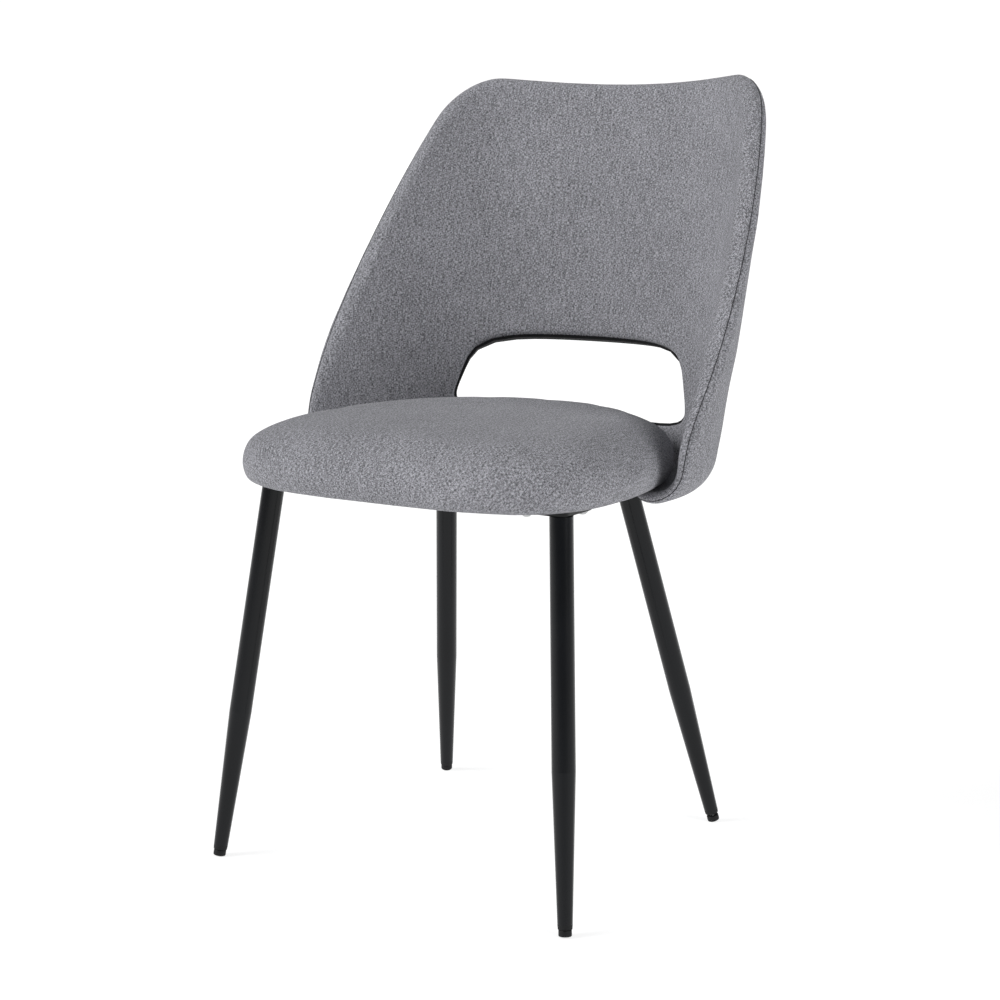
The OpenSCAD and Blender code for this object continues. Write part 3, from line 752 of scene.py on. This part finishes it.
def cloth_map(lines, sheet):
    """Flat cloth coordinates that keep their scale round the rolled edges, on both sides of the seam."""
    heading = sheet[:, ROWS - 1] - sheet[:, 0]
    heading /= np.linalg.norm(heading, axis=1)[:, None]

    def walked(order):
        steps = np.linalg.norm(np.diff(lines[:, order], axis=1), axis=2)
        length = np.concatenate([np.zeros((len(lines), 1)), np.cumsum(steps, 1)], 1)
        start = sheet[:, order[0]]
        return start[:, None] + heading[:, None] * length[..., None]

    front, rear = np.zeros_like(sheet), np.zeros_like(sheet)
    order = list(range(SEAM + 1))
    front[:, order] = walked(order)
    order = list(range(2 * ROWS - 1, SEAM - 1, -1))
    rear[:, order] = walked(order)
    return front, rear


def make_back(name):
    """The covered back as one closed band of cloth; returns it with the run and climb of its points."""
    lines, sheet = shell_lines()
    front, rear = cloth_map(lines, sheet)
    m, n = lines.shape[:2]
    faces, weave = [], []
    for j in range(m):
        k = (j + 1) % m
        for i in range(n):
            h = (i + 1) % n
            faces.append((j * n + i, k * n + i, k * n + h, j * n + h))
            flat = front if i < SEAM else rear
            if i == n - 1:
                weave += [flat[j, i], flat[k, i], flat[k, i] + LIP_W, flat[j, i] + LIP_W]
            else:
                weave += [flat[j, i], flat[k, i], flat[k, h], flat[j, h]]
    return add_mesh(name, lines.reshape(-1, 3) * MM, faces, np.array(weave) * MM), sheet


def shape_back(piece, sheet):
    """Swells the back between its seam, opening and flange, then draws the seam in.

    Returns the path of the thread that lies in the seam.
    """
    m, n = sheet.shape[:2]
    station = np.arange(n)
    row = np.minimum(station, 2 * ROWS - 1 - station)
    from_gap = np.clip((row - 2) / 7, 0, 1)
    from_seam = np.clip(np.abs(station - SEAM) / 4, 0, 1)
    from_flange = np.clip((sheet[..., 1] + 20) / 60, 0, 1)
    free = (from_gap * from_seam)[None, :] * from_flange
    swell(piece, free.ravel(), BACK_CAP * MM)
    points = read_points(piece.data).reshape(m, n, 3) / MM
    run = np.concatenate([[0], np.cumsum(np.linalg.norm(np.diff(points[:, SEAM], axis=0), axis=1))])
    pucker = ripple(run * 1.7, 1.1)
    under = (points[:, SEAM - SEAM_REACH] + points[:, SEAM + SEAM_REACH]) / 2
    for shift, depth in ((0, SEAM_DEPTH), (-1, BESIDE_DEPTH), (1, BESIDE_DEPTH), (-2, 0.0), (2, 0.0)):
        inward = under - points[:, SEAM + shift]
        inward /= np.linalg.norm(inward, axis=1)[:, None]
        points[:, SEAM + shift] += inward * (depth + PUCKER * np.sign(shift) * pucker)[:, None]
    write_points(piece.data, points.reshape(-1, 3) * MM)
    outward = points[:, SEAM] - under
    outward /= np.linalg.norm(outward, axis=1)[:, None]
    return points[:, SEAM] + outward * THREAD_LIFT


def make_thread(name, path):
    """A thin closed tube along a closed path, in millimetres."""
    ahead = np.roll(path, -1, 0) - np.roll(path, 1, 0)
    ahead /= np.linalg.norm(ahead, axis=1)[:, None]
    side = np.cross(ahead, (0, 0.35, 1))
    side /= np.linalg.norm(side, axis=1)[:, None]
    over = np.cross(side, ahead)
    turns = np.radians(np.arange(0, 360, 60))[:, None]
    points = path[:, None] + THREAD_R * (side[:, None] * np.cos(turns) + over[:, None] * np.sin(turns))
    m, n = points.shape[:2]
    faces = [(j * n + i, j * n + (i + 1) % n, (j + 1) % m * n + (i + 1) % n, (j + 1) % m * n + i)
             for j in range(m) for i in range(n)]
    return add_mesh(name, points.reshape(-1, 3) * MM, faces)


# ---------------------------------------------------------------- assembly

make_camera()
make_stage()

cloth = woven_cloth("woven_grey", (0.205, 0.205, 0.222))
pad = make_pad("seat_pad")
shape_pad(pad)
back, back_sheet = make_back("back_padding")
seam = make_thread("back_seam", shape_back(back, back_sheet))
seam.data.materials.append(seam_thread())
for piece in (pad, back):
    piece.data.materials.append(cloth)
    smooth = piece.modifiers.new("smooth", "SUBSURF")
    smooth.levels = smooth.render_levels = 1
for piece in (pad, back, seam):
    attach(piece, "chair")
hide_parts("seat_cover", "seat_foam")
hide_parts("back_cover_front", "back_cover_rear", "back_foam_front_left",
            "back_foam_front_right", "back_foam_rear")

coat_nodes(powder_coat(), "_leg", "_plate")
coat_nodes(moulded_plastic(), "_plug", "_glide")
coat_nodes(zinc_plate("zinc_thread", True), "_stud", "_bolts")
coat_nodes(zinc_plate("zinc_plain", False), "_washers", "_tee_nuts", "staples")
coat_nodes(plywood(), "seat_board", "back_core")
coat_nodes(non_woven("dust_cloth", (0.012, 0.012, 0.012)), "dust_cover")
# The black strip round the opening is painted shade for the lip's shaded underside.
coat_nodes(lip_shade_tape(), "opening_trim")
